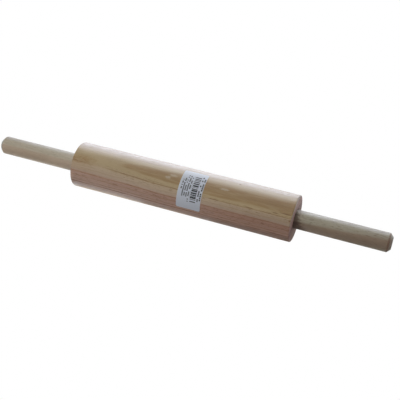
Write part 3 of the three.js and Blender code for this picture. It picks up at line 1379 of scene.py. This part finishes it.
@dataclass(frozen=True)
class PaperFinish:
    """Smooth white self-adhesive paper, printed with plain dashes and stripes that spell nothing.

    The print is a block of short dashes, stripes beside it, and longer dashes along the label's edge.
    """

    paper: Colour = (0.735, 0.78, 0.88)
    ink: Colour = (0.03, 0.034, 0.042)
    mottle_tint: Colour = (0.80, 0.82, 0.84)
    cloud_tint: Colour = (0.80, 0.80, 0.80)
    rows: PrintBlock = PrintBlock(2.0, 14.2, 9.0, 40.5, 2.3, 1.25, 8.0)
    stripes: PrintBlock = PrintBlock(14.8, 21.2, 9.5, 38.0, 2.55)
    edge_rows: PrintBlock = PrintBlock(21.9, 26.8, 7.5, 40.5, 2.45, 2.1)
    relief: float = 0.00003

    def material(self, width: float, length: float) -> Material:
        """Builds the material on the label's own map, whose unit is the label's width and length.

        Args:
            width: the label's width in millimetres.
            length: its length in millimetres.

        Returns:
            The material.
        """
        finish = Finish.start("printed_paper", Specular_IOR_Level=0.55)
        bench = finish.bench
        source = bench.node("ShaderNodeTexCoord").outputs["UV"]
        place = bench.node("ShaderNodeMapping", {"Vector": source, "Scale": (width, length, 1.0)}).outputs[0]
        across, along, _ = bench.split(place)
        printed = bench.largest(
            self._dashes(bench, across, along, self.rows),
            self._stripes(bench, across, along, self.stripes),
            self._dashes(bench, across, along, self.edge_rows),
        )
        worn = bench.noise(place, (1.2, 1.2, 1.0), detail=3.0)
        printed = bench.product(printed, bench.rise(worn, 0.25, 0.45, 0.75, 1.0))
        mottle = bench.noise(place, (0.5, 0.5, 1.0), (5.0, 2.0, 0.0), detail=4.0, rough=0.6)
        cloud = bench.noise(place, (14.0, 18.0, 1.0))
        sheet = bench.tinted(
            self.paper,
            (bench.rise(mottle, 0.3, 0.7, 0.10, 0.0), self.mottle_tint),
            (bench.rise(cloud, 0.35, 0.65, 0.0, 0.10), self.cloud_tint),
        )
        colour = bench.blend(printed, sheet, self.ink)
        return finish.dress(colour, bench.rise(mottle, 0.3, 0.7, 0.40, 0.50), mottle, self.relief)

    @staticmethod
    def _within(bench: Bench, value: Feed, low: float, high: float, soft: float = 0.12) -> Result:
        """Gives 1 between two places and 0 outside them, with edges that are soft on both sides."""
        return bench.band(value, (low - soft, low + soft), (high - soft, high + soft))

    def _dashes(self, bench: Bench, across: Feed, along: Feed, block: PrintBlock) -> Result:
        """Prints rows of plain dashes that run along the label, each row of its own length.

        Args:
            bench: adds the nodes.
            across: the place across the label, in millimetres.
            along: the place along it.
            block: where the rows lie.

        Returns:
            The mask.
        """
        counted = bench.math("DIVIDE", bench.math("SUBTRACT", across, block.first), block.pitch)
        row = bench.math("FLOOR", counted)
        in_row = self._within(bench, bench.math("FRACT", counted), 0.2, 0.8)
        cell = bench.math("DIVIDE", along, block.dash)
        number = {0: row, 1: bench.math("FLOOR", cell), 2: block.pitch}
        where = bench.node("ShaderNodeCombineXYZ", number).outputs[0]
        drawn = bench.node("ShaderNodeTexWhiteNoise", {"Vector": where}).outputs["Value"]
        inked = bench.math("GREATER_THAN", drawn, 0.22)
        in_cell = self._within(bench, bench.math("FRACT", cell), 0.04, 0.84)
        late_start, early_end, _ = bench.split(bench.chance(row).outputs["Color"])
        shorter = bench.rise(row, 0.0, 2.0, block.taper, 0.0)
        length = block.high - block.low
        start = bench.total(bench.math("MULTIPLY_ADD", late_start, length * 0.2, block.low), shorter)
        end = bench.math("MULTIPLY_ADD", early_end, length * -0.12, block.high)
        end = bench.math("SUBTRACT", end, shorter)
        started = bench.math("GREATER_THAN", along, start)
        not_ended = bench.math("LESS_THAN", along, end)
        in_block = self._within(bench, across, block.first, block.last)
        return bench.product(in_row, in_cell, inked, in_block, started, not_ended)

    def _stripes(self, bench: Bench, across: Feed, along: Feed, block: PrintBlock) -> Result:
        """Prints a block of plain stripes across the label, of uneven widths.

        Args:
            bench: adds the nodes.
            across: the place across the label, in millimetres.
            along: the place along it.
            block: where the stripes lie.

        Returns:
            The mask.
        """
        counted = bench.math("DIVIDE", along, block.pitch)
        own = bench.chance(bench.math("FLOOR", counted)).outputs
        wide = bench.math("MULTIPLY_ADD", own["Value"], 0.45, 0.35)
        inset = bench.math("SUBTRACT", bench.math("FRACT", counted), bench.split(own["Color"])[1])
        inked = bench.math("LESS_THAN", bench.math("FRACT", inset), wide)
        in_width = self._within(bench, across, block.first, block.last)
        return bench.product(inked, in_width, self._within(bench, along, block.low, block.high))


@dataclass
class Barrel(Component):
    """The turned roller, with a bore in each end and a hole through its wall for each peg. Millimetres."""

    node: ClassVar[str] = "barrel"
    body: ClassVar[str] = "barrel"
    slot: ClassVar[str] = "barrel_pine"
    rim: float = 1.0
    softness: float = 0.3
    bore_radius: float = 10.5
    bore_depth: float = 62.0
    mouth: float = 1.0
    drill_point: float = 6.31
    hole_radius: float = 3.12
    left_knocks: Knocks = Knocks((12, 75, 168, 214, 300), 3.0, 0.22, 1.6)
    right_knocks: Knocks = Knocks((40, 96, 160, 248, 335), 3.0, 0.22, 1.6)
    segments: int = 192
    step: float = 3.0
    sharp_degrees: float = 40.0

    def profile(self) -> Array:
        """Draws half the section, from one drill point round the outside to the other.

        Returns:
            Rows of X and radius.
        """
        half = np.array(
            [
                [BARREL_END - self.bore_depth - self.drill_point, 0.0],
                [BARREL_END - self.bore_depth, self.bore_radius],
                [BARREL_END - self.mouth, self.bore_radius],
                [BARREL_END, self.bore_radius + self.mouth],
                [BARREL_END, BARREL_RADIUS],
            ]
        )
        corners = np.concatenate([half * (-1.0, 1.0), half[::-1]])
        reach = np.array([self.softness] * 3 + [self.rim])
        return spaced(eased(corners, np.concatenate([reach, reach[::-1]])), self.step)

    def build(self, pegs: "list[RetainingPeg]") -> Piece:
        """Builds the barrel.

        Args:
            pegs: the pegs that need a hole.

        Returns:
            The barrel's object.
        """
        profile = self.profile()
        left = self.left_knocks.wear(profile, self.segments, -BARREL_END)
        right = self.right_knocks.wear(profile, self.segments, BARREL_END)
        barrel = turned(profile, self.segments, left + right).to_object("turned_barrel", self.sharp_degrees)
        for peg in pegs:
            self._bore_hole(barrel, peg)
        smooth(barrel.data, self.sharp_degrees)
        return barrel

    def _bore_hole(self, barrel: Piece, peg: "RetainingPeg") -> None:
        """Cuts a peg's hole through the wall.

        Args:
            barrel: the barrel's object.
            peg: the peg.
        """
        drill = peg.round_bar(np.array([[0.0, self.hole_radius], [2 * BARREL_RADIUS, self.hole_radius]]))
        cutter = drill.to_object("peg_hole_drill")
        cut = barrel.modifiers.new("peg_hole", "BOOLEAN")
        cut.operation = "DIFFERENCE"
        cut.solver = "EXACT"
        cut.object = cutter
        graph = bpy.context.evaluated_depsgraph_get()
        drilled = bpy.data.meshes.new_from_object(barrel.evaluated_get(graph))
        barrel.modifiers.clear()
        barrel.data = drilled
        bpy.data.objects.remove(cutter)


@dataclass
class Handle(Component):
    """A dowel handle that spins in the barrel's bore, with a groove near its inner end. Millimetres."""

    slot: ClassVar[str] = "handle_hardwood"
    side: Side
    radius: float = 10.0
    tip_chamfer: float = 3.5
    inner_chamfer: float = 1.5
    groove_depth: float = 3.5
    groove_shoulder: float = 12.0
    groove_width: float = 7.0
    softness: float = 0.25
    tip_knocks: Knocks = Knocks((25, 118, 190, 281), 6.0, 0.12, 1.2)
    segments: int = 128
    step: float = 3.0
    sharp_degrees: float = 50.0

    @property
    def node(self) -> str:
        """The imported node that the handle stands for."""
        return f"{self.side.word}_handle"

    @property
    def body(self) -> str:
        """The handle's own body, which has the node's name."""
        return self.node

    def profile(self) -> Array:
        """Draws half the section, from the inner end to the tip.

        Returns:
            Rows of X and radius, in the order of rising X.
        """
        low, high = box_sides(self.node)
        reach = np.abs([low[0], high[0]]) / MM
        inner, tip = reach.min(), reach.max()
        groove = inner + self.groove_shoulder
        neck = self.radius - self.groove_depth
        corners = np.array(
            [
                [inner, 0.0],
                [inner, self.radius - self.inner_chamfer],
                [inner + self.inner_chamfer, self.radius],
                [groove, self.radius],
                [groove, neck],
                [groove + self.groove_width, neck],
                [groove + self.groove_width, self.radius],
                [tip - self.tip_chamfer, self.radius],
                [tip, self.radius - self.tip_chamfer],
                [tip, 0.0],
            ]
        )
        profile = spaced(eased(corners, np.full(len(corners) - 2, self.softness)), self.step)
        return profile if self.side is Side.RIGHT else profile[::-1] * (-1.0, 1.0)

    def build(self) -> Piece:
        """Builds the handle's object, with its tip knocked a little.

        Returns:
            The object.
        """
        profile = self.profile()
        worn = self.tip_knocks.wear(profile, self.segments, self.side.value * (HANDLE_TIP - self.tip_chamfer))
        name = f"{self.side.word}_dowel_handle"
        return turned(profile, self.segments, worn).to_object(name, self.sharp_degrees)


@dataclass
class RetainingPeg(Component):
    """A small peg in the barrel's wall, whose tip rides in the handle's groove. Millimetres."""

    body: ClassVar[str] = "barrel"
    slot: ClassVar[str] = "peg_hardwood"
    side: Side
    radius: float = 3.0
    tip: float = 7.0
    tip_chamfer: float = 0.8
    below_flush: float = 0.06
    worn_height: float = 0.4
    worn_width: float = 0.08
    segments: int = 48

    @property
    def node(self) -> str:
        """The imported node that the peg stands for."""
        return f"{self.side.word}_retaining_peg"

    @property
    def place(self) -> float:
        """The peg's X in millimetres."""
        low, high = box_sides(self.node)
        return float(low[0] + high[0]) / 2 / MM

    def round_bar(self, profile: Array, top_radius: float = 0.0) -> Surface:
        """Turns a profile about the peg's own axis, which points to the back.

        Point (i, j) is (place + r cos a, y, r sin a). Where a top radius is given, the rows at the bar's top
        lie on a round about the pin's axis: y is the square root of the top radius squared less Z squared.

        Args:
            profile: rows of Y and radius in millimetres.
            top_radius: the radius of the round that the bar's top follows, or 0 for a flat top.

        Returns:
            The closed surface, in metres.
        """
        angle = full_turn(self.segments)[None]
        radius = profile[:, 1:]
        x = self.place + radius * np.cos(angle)
        z = radius * np.sin(angle)
        y = np.repeat(profile[:, :1], self.segments, axis=1)
        last = float(profile[-1, 0])
        if top_radius:
            y = np.where(profile[:, :1] >= last, np.sqrt(top_radius**2 - z**2), y)
            last = top_radius
        poles = np.array([[self.place, profile[0, 0], 0.0], [self.place, last, 0.0]])
        surface = closed_rings(np.stack([x, y, z], axis=-1), poles[0], poles[1])
        surface.points = from_axis(surface.points)
        return surface

    def build(self) -> Piece:
        """Builds the peg's object, with its end trimmed to the barrel's round.

        Returns:
            The object.
        """
        top = BARREL_RADIUS - self.below_flush
        tip_radius = self.radius - self.tip_chamfer
        profile = np.array(
            [
                [self.tip, 0.5 * tip_radius],
                [self.tip, tip_radius],
                [self.tip + self.tip_chamfer, self.radius],
                [0.5 * top, self.radius],
                [top - self.worn_height, self.radius],
                [top, self.radius - self.worn_width],
                [top, 0.66 * self.radius],
                [top, 0.33 * self.radius],
            ]
        )
        return self.round_bar(profile, top).to_object(f"{self.side.word}_groove_peg")


@dataclass
class PriceLabel(Component):
    """The paper label, bent round the barrel. Millimetres and degrees."""

    node: ClassVar[str] = "price_label"
    body: ClassVar[str] = "barrel"
    slot: ClassVar[str] = "label_paper"
    width: float = 27.0
    length: float = 45.0
    corner: float = 2.0
    paper: float = 0.15
    film: float = 0.03
    middle_angle: float = 48.5
    corner_lift: float = 0.22
    lift_reach: float = 3.5
    other_lift: float = 0.132
    other_reach: float = 3.0
    corner_rows: int = 8
    straight_rows: int = 60
    columns: int = 37
    sharp_degrees: float = 60.0

    @property
    def middle(self) -> float:
        """The X of the label's middle in millimetres."""
        low, high = box_sides(self.node)
        return float(low[0] + high[0]) / 2 / MM

    def outline(self) -> tuple[Array, Array]:
        """Works out the rows across the label: quarter rounds at both ends and even steps between them.

        Returns:
            Each row's place along the label, and half its width.
        """
        straight = self.length / 2 - self.corner
        turn = np.linspace(0.0, np.pi / 2, self.corner_rows)
        arc = straight + self.corner * np.sin(turn)
        half = self.width / 2 - self.corner * (1 - np.cos(turn))
        middle = np.linspace(-straight, straight, self.straight_rows)[1:-1]
        along = np.concatenate([-arc[::-1], middle, arc])
        halves = np.concatenate([half[::-1], np.full(len(middle), self.width / 2), half])
        return along, halves

    def build(self) -> Piece:
        """Builds the label's object with its own map.

        A place (s across, t along) goes to X middle + s and angle middle + t / r, where r is the radius of
        the barrel and the adhesive. The sheet lies at r plus a lift that falls off as a bell from each of two
        corners, and its outer face is one paper's thickness further out.

        Returns:
            The object.
        """
        along, halves = self.outline()
        across = halves[:, None] * np.linspace(-1.0, 1.0, self.columns)[None]
        along = np.repeat(along[:, None], self.columns, axis=1)
        from_corner = np.hypot(across - self.width / 2, along + self.length / 2) / self.lift_reach
        from_other = np.hypot(across + self.width / 2, along - self.length / 2) / self.other_reach
        lift = self.corner_lift * np.exp(-(from_corner**2)) + self.other_lift * np.exp(-(from_other**2))
        inside = BARREL_RADIUS + self.film
        angle = math.radians(self.middle_angle) + along / inside
        radius = np.stack([inside + lift + self.paper, inside + lift])
        x = np.broadcast_to(self.middle + across, radius.shape)
        points = np.stack([x, -radius * np.cos(angle), radius * np.sin(angle)], axis=-1)
        label = self._closed_sheet(from_axis(points)).to_object("paper_price_label", self.sharp_degrees)
        self._map(label.data, np.stack([across / self.width + 0.5, along / self.length + 0.5], axis=-1))
        return label

    @staticmethod
    def _closed_sheet(points: Array) -> Surface:
        """Joins the two faces of the sheet along its edge.

        Args:
            points: the places by face, row, column and coordinate, with the outer face first.

        Returns:
            The closed surface.
        """
        _, rows, columns, _ = points.shape
        number = np.arange(rows * columns).reshape(rows, columns)
        outer = sheet_faces(rows, columns)
        inner = outer[:, ::-1] + rows * columns
        edge = np.concatenate([number[0, :-1], number[:-1, -1], number[-1, :0:-1], number[:0:-1, 0]])
        beside = np.roll(edge, -1)
        wall = np.stack([edge, edge + rows * columns, beside + rows * columns, beside], axis=-1)
        return Surface(points.reshape(-1, 3), [np.concatenate([outer, inner, wall])])

    @staticmethod
    def _map(mesh: Mesh, places: Array) -> None:
        """Lays the label's map: the share across it and along it, alike on both faces.

        Args:
            mesh: the label's mesh.
            places: the map by row, column and coordinate.
        """
        flat = np.tile(places.reshape(-1, 2), (2, 1))
        corner = np.empty(len(mesh.loops), dtype=np.int32)
        mesh.loops.foreach_get("vertex_index", corner)
        layer = mesh.uv_layers.new(name="label_map")
        layer.data.foreach_set("uv", flat[corner].astype(np.float32).ravel())


@dataclass(frozen=True)
class Softbox:
    """A soft rectangular light, whose matt and glossy light have strengths of their own. Metres.

    Attributes:
        name: the light's name.
        place: where it hangs.
        size: its width and height.
        matt: the brightness of its face for matt light, where the white of the picture is 1.
        gloss: the same for the shine that it leaves on a surface.
        tint: its colour.
        lies_flat: whether it lies facing up, as a bounce card does, instead of facing the pin.
    """

    name: str
    place: Triple
    size: Pair
    matt: float
    gloss: float
    tint: Colour = WHITE
    lies_flat: bool = False

    @classmethod
    def card(cls, name: str, place: Pair, size: Pair, matt: float, gloss: float, tint: Colour) -> "Softbox":
        """Lays a card on the floor, facing up.

        Args:
            name: the card's name.
            place: the X and Y of its middle.
            size: its length along X and its width.
            matt: the brightness of its face for matt light.
            gloss: the same for shine.
            tint: its colour.

        Returns:
            The card.
        """
        above_floor = 0.001
        return cls(name, (*place, above_floor), size, matt, gloss, tint, lies_flat=True)

    def hang(self) -> None:
        """Hangs one light for each part that is lit."""
        for rays, glow in ((Rays.MATT, self.matt), (Rays.GLOSSY, self.gloss)):
            if glow:
                self._hang_part(rays, glow)

    def _hang_part(self, rays: Rays, glow: float) -> None:
        """Hangs the light for one part of its rays.

        Args:
            rays: the part of the surfaces' light that it adds to.
            glow: the brightness of its face.
        """
        name = f"{self.name}_{rays.value}"
        data = bpy.data.lights.new(name, "AREA")
        data.shape = "RECTANGLE"
        data.size, data.size_y = self.size
        data.color = self.tint
        data.energy = math.pi * self.size[0] * self.size[1] * glow
        light = bpy.data.objects.new(name, data)
        light.location = self.place
        middle = Vector((0.0, 0.0, AXIS_HEIGHT))
        facing = Vector((0.0, 0.0, 1.0)) if self.lies_flat else middle - Vector(self.place)
        light.rotation_euler = facing.to_track_quat("-Z", "Y").to_euler()
        light.visible_camera = False
        light.visible_diffuse = rays is Rays.MATT
        light.visible_glossy = rays is Rays.GLOSSY
        bpy.context.scene.collection.objects.link(light)


BACK_STRIP: Pair = (1.0, 0.294)
FLOOR_STRIP: Pair = (0.08, 0.010)
FLOOR_TINT: Colour = (0.74, 0.89, 1.0)
SHINE_TINT: Colour = (0.68, 0.85, 1.0)


def white_to_camera(bench: Bench, kind: str, lit: Result, output: Node) -> None:
    """Shows plain white to the camera, and what is lit to every other ray.

    Args:
        bench: adds the nodes.
        kind: the type of the white shader's node.
        lit: the shader for the other rays.
        output: the tree's output node.
    """
    white = bench.node(kind, {"Color": (*WHITE, 1.0), "Strength": 1.0})
    seen = bench.node("ShaderNodeLightPath").outputs["Is Camera Ray"]
    mixed = bench.node("ShaderNodeMixShader", {0: seen, 1: lit, 2: white.outputs[0]})
    bench.tree.links.new(mixed.outputs[0], output.inputs["Surface"])


@dataclass
class Studio:
    """The pale floor, the soft lights and the camera. Metres and degrees."""

    azimuth: float = 21.47
    elevation: float = 40.96
    distance: float = 0.843
    target: Triple = (0.0186, 0.0, 0.0170)
    lens: float = 70.3
    sensor: float = 36.0
    floor_size: float = 8.0
    floor_rows: int = 9
    floor_drop: float = 0.0002
    floor_colour: Colour = (0.82, 0.82, 0.82)
    room_light: float = 0.06
    softboxes: tuple[Softbox, ...] = (
        Softbox("back_low_softbox", (-0.43, 1.392, 0.171), BACK_STRIP, 0.0, 9.9, (0.84, 0.88, 1.0)),
        Softbox("back_softbox", (0.0, 1.30, 0.50), (2.4, 0.8), 0.05, 6.8, (0.83, 0.88, 1.0)),
        Softbox("back_upper_softbox", (-0.43, 1.040, 0.962), BACK_STRIP, 0.0, 4.7, (0.82, 0.88, 1.0)),
        Softbox("back_high_softbox", (-0.43, 0.823, 1.158), BACK_STRIP, 0.0, 1.6, (0.85, 0.92, 1.0)),
        Softbox("back_top_softbox", (-0.43, 0.569, 1.304), BACK_STRIP, 0.0, 0.4),
        Softbox("top_softbox", (0.0, -0.17, 1.2), (1.2, 0.8), 1.73, 0.22, (1.0, 0.98, 0.945)),
        Softbox("front_softbox", (0.0, -0.9, 0.8), (1.2, 0.7), 0.0, 0.52),
        Softbox("left_front_softbox", (-0.75, -0.6, 0.35), (0.6, 0.6), 0.45, 1.48),
        Softbox("left_softbox", (-0.6, -0.25, 0.3), (0.4, 0.4), 1.76, 0.0, (1.0, 0.98, 0.955)),
        Softbox("left_back_softbox", (-0.9, 0.8, 0.45), (0.7, 0.6), 0.0, 0.61),
        Softbox("right_back_softbox", (0.8, 0.9, 0.4), (0.7, 0.6), 0.8, 1.8),
        Softbox("right_softbox", (0.75, 0.30, 0.75), (0.5, 0.5), 1.1, 0.0, (0.92, 0.96, 1.0)),
        Softbox.card("back_card", (0.0, 0.20), (0.6, 0.3), 0.0, 0.9, WHITE),
        Softbox.card("left_card", (-0.085, -0.023), FLOOR_STRIP, 2.1, 0.0, FLOOR_TINT),
        Softbox.card("middle_card", (-0.005, -0.023), FLOOR_STRIP, 1.2, 0.0, FLOOR_TINT),
        Softbox.card("right_card", (0.075, -0.023), FLOOR_STRIP, 0.5, 0.0, FLOOR_TINT),
        Softbox.card("left_shine_card", (-0.090, -0.025), FLOOR_STRIP, 0.0, 1.9, SHINE_TINT),
        Softbox.card("middle_shine_card", (-0.010, -0.023), FLOOR_STRIP, 0.0, 0.85, SHINE_TINT),
        Softbox.card("right_shine_card", (0.070, -0.022), FLOOR_STRIP, 0.0, 0.65, SHINE_TINT),
        Softbox.card("left_handle_card", (-0.180, -0.007), (0.085, 0.014), 2.4, 1.6, (0.78, 0.87, 1.0)),
        Softbox.card("end_card", (0.148, -0.008), (0.036, 0.036), 0.45, 0.0, (0.84, 0.90, 1.0)),
    )

    def build(self) -> None:
        """Builds the floor, the lights and the camera."""
        self._floor()
        self._surroundings()
        for softbox in self.softboxes:
            softbox.hang()
        self._camera()

    def _floor(self) -> None:
        """Lays the floor, which reads white in the picture and lights the pin as pale board does."""
        side = np.linspace(-self.floor_size / 2, self.floor_size / 2, self.floor_rows)
        x, y = np.meshgrid(side, side)
        points = np.stack([x, y, np.full_like(x, -self.floor_drop)], axis=-1).reshape(-1, 3)
        floor = Surface(points, [sheet_faces(self.floor_rows, self.floor_rows)]).to_object("studio_floor")
        colour = (*self.floor_colour, 1.0)
        finish = Finish.start("pale_floor", Base_Color=colour, Roughness=0.9, Specular_IOR_Level=0.1)
        output = finish.bench.tree.nodes["Material Output"]
        white_to_camera(finish.bench, "ShaderNodeEmission", finish.shader.outputs[0], output)
        floor.data.materials.append(finish.material)

    def _surroundings(self) -> None:
        """Sets the even light of the room, and white behind the floor's edge."""
        world = bpy.data.worlds.new("studio_room")
        world.use_nodes = True
        nodes = world.node_tree.nodes
        room, output = nodes["Background"], nodes["World Output"]
        room.inputs["Color"].default_value = (*WHITE, 1.0)
        room.inputs["Strength"].default_value = self.room_light
        white_to_camera(Bench(world.node_tree), "ShaderNodeBackground", room.outputs[0], output)
        bpy.context.scene.world = world

    def _camera(self) -> None:
        """Sets up the camera at the photograph's angle."""
        azimuth, elevation = math.radians(self.azimuth), math.radians(self.elevation)
        level = math.cos(elevation)
        back = Vector((math.sin(azimuth) * level, -math.cos(azimuth) * level, math.sin(elevation)))
        data = bpy.data.cameras.new("product_camera")
        data.sensor_width = self.sensor
        data.lens = self.lens
        camera = bpy.data.objects.new("product_camera", data)
        camera.location = Vector(self.target) + back * self.distance
        camera.rotation_euler = (-back).to_track_quat("-Z", "Y").to_euler()
        bpy.context.scene.collection.objects.link(camera)
        bpy.context.scene.camera = camera
        bpy.context.scene.view_settings.view_transform = "Standard"


def main() -> None:
    """Builds the pin and its studio."""
    logging.basicConfig(level=logging.INFO, format="%(name)s: %(message)s")
    groups = WoodGroups()
    peg_wood = PegFinish().material(groups)
    pegs = [RetainingPeg(side) for side in Side]
    barrel = Barrel()
    barrel.dress(barrel.build(pegs), PineFinish().material(groups))
    for side in Side:
        handle = Handle(side)
        dowel = DOWELS[side].material(groups)
        handle.dress(handle.build(), dowel)
    for peg in pegs:
        peg.dress(peg.build(), peg_wood)
    label = PriceLabel()
    paper = PaperFinish().material(label.width, label.length)
    label.dress(label.build(), paper)
    Studio().build()


if __name__ == "__main__":
    main()
